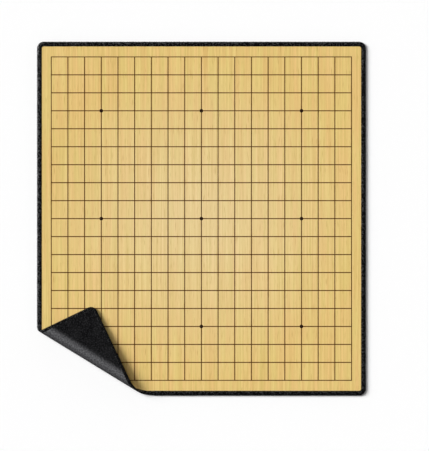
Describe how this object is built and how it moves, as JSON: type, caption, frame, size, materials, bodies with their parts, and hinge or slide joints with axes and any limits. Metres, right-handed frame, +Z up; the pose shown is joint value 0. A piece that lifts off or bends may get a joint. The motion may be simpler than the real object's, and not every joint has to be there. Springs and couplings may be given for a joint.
{
  "type": "go board mat",
  "caption": "Flexible roll-up go board: wood-print cloth with a line grid on black foam rubber, overlocked edge, one corner folded over.",
  "frame": {"origin": "middle of the underside, on the table", "axes": "+X to the right along the mat's short sides, +Y away from the player along its long sides, +Z up out of the playing face"},
  "size_m": [0.433, 0.466, 0.0142],
  "materials": {
    "foam_rubber": "matte black foam rubber with a fine cell grain",
    "bonding_film": "milky hot-melt film",
    "printed_cloth": "smooth woven polyester printed with straight wood grain",
    "edge_thread": "black overlock thread with a slight sheen",
    "print_ink": "matte dark brown print"
  },
  "bodies": {
    "mat": {"rubber_base": "foam_rubber", "bonding_film_base": "bonding_film", "face_cloth_base": "printed_cloth", "edge_stitching_base": "edge_thread", "grid_lines_base": "print_ink", "star_points": "print_ink"},
    "bend_1": {"rubber_bend_1": "foam_rubber", "bonding_film_bend_1": "bonding_film", "face_cloth_bend_1": "printed_cloth", "edge_stitching_bend_1": "edge_thread", "grid_lines_bend_1": "print_ink"},
    "bend_2": {"rubber_bend_2": "foam_rubber", "bonding_film_bend_2": "bonding_film", "face_cloth_bend_2": "printed_cloth", "edge_stitching_bend_2": "edge_thread", "grid_lines_bend_2": "print_ink"},
    "bend_3": {"rubber_bend_3": "foam_rubber", "bonding_film_bend_3": "bonding_film", "face_cloth_bend_3": "printed_cloth", "edge_stitching_bend_3": "edge_thread", "grid_lines_bend_3": "print_ink"},
    "bend_4": {"rubber_bend_4": "foam_rubber", "bonding_film_bend_4": "bonding_film", "face_cloth_bend_4": "printed_cloth", "edge_stitching_bend_4": "edge_thread", "grid_lines_bend_4": "print_ink"},
    "bend_5": {"rubber_bend_5": "foam_rubber", "bonding_film_bend_5": "bonding_film", "face_cloth_bend_5": "printed_cloth", "edge_stitching_bend_5": "edge_thread", "grid_lines_bend_5": "print_ink"},
    "bend_6": {"rubber_bend_6": "foam_rubber", "bonding_film_bend_6": "bonding_film", "face_cloth_bend_6": "printed_cloth", "edge_stitching_bend_6": "edge_thread", "grid_lines_bend_6": "print_ink"},
    "corner": {"rubber_corner": "foam_rubber", "bonding_film_corner": "bonding_film", "face_cloth_corner": "printed_cloth", "edge_stitching_corner": "edge_thread", "grid_lines_corner": "print_ink"}
  },
  "joints": [
    {"name": "bend_1_fold", "type": "hinge", "parent": "mat", "child": "bend_1", "pos_m": [-0.1385, -0.188, 0], "axis": [0.8662, -0.4997, 0], "range_deg": [0, 15.28]},
    {"name": "bend_2_fold", "type": "hinge", "parent": "bend_1", "child": "bend_2", "pos_m": [-0.14, -0.19057, 0.00081], "axis": [0.86, -0.5102, 0.0033], "range_deg": [0, 30.56]},
    {"name": "bend_3_fold", "type": "hinge", "parent": "bend_2", "child": "bend_3", "pos_m": [-0.14112, -0.1924, 0.00303], "axis": [0.8555, -0.5177, 0.0123], "range_deg": [0, 30.56]},
    {"name": "bend_4_fold", "type": "hinge", "parent": "bend_3", "child": "bend_4", "pos_m": [-0.14155, -0.19299, 0.00602], "axis": [0.8538, -0.5201, 0.0246], "range_deg": [0, 30.56]},
    {"name": "bend_5_fold", "type": "hinge", "parent": "bend_4", "child": "bend_5", "pos_m": [-0.14116, -0.19218, 0.00897], "axis": [0.8553, -0.5168, 0.0366], "range_deg": [0, 30.56]},
    {"name": "bend_6_fold", "type": "hinge", "parent": "bend_5", "child": "bend_6", "pos_m": [-0.14006, -0.19018, 0.01105], "axis": [0.8598, -0.5086, 0.0451], "range_deg": [0, 30.56]},
    {"name": "corner_fold", "type": "hinge", "parent": "bend_6", "child": "corner", "pos_m": [-0.13857, -0.18756, 0.01169], "axis": [0.8659, -0.4979, 0.0477], "range_deg": [0, 15.28]}
  ],
  "couplings": [
    {"joint": "bend_1_fold", "follows": "corner_fold", "ratio": 1},
    {"joint": "bend_2_fold", "follows": "corner_fold", "ratio": 2},
    {"joint": "bend_3_fold", "follows": "corner_fold", "ratio": 2},
    {"joint": "bend_4_fold", "follows": "corner_fold", "ratio": 2},
    {"joint": "bend_5_fold", "follows": "corner_fold", "ratio": 2},
    {"joint": "bend_6_fold", "follows": "corner_fold", "ratio": 2}
  ]
}
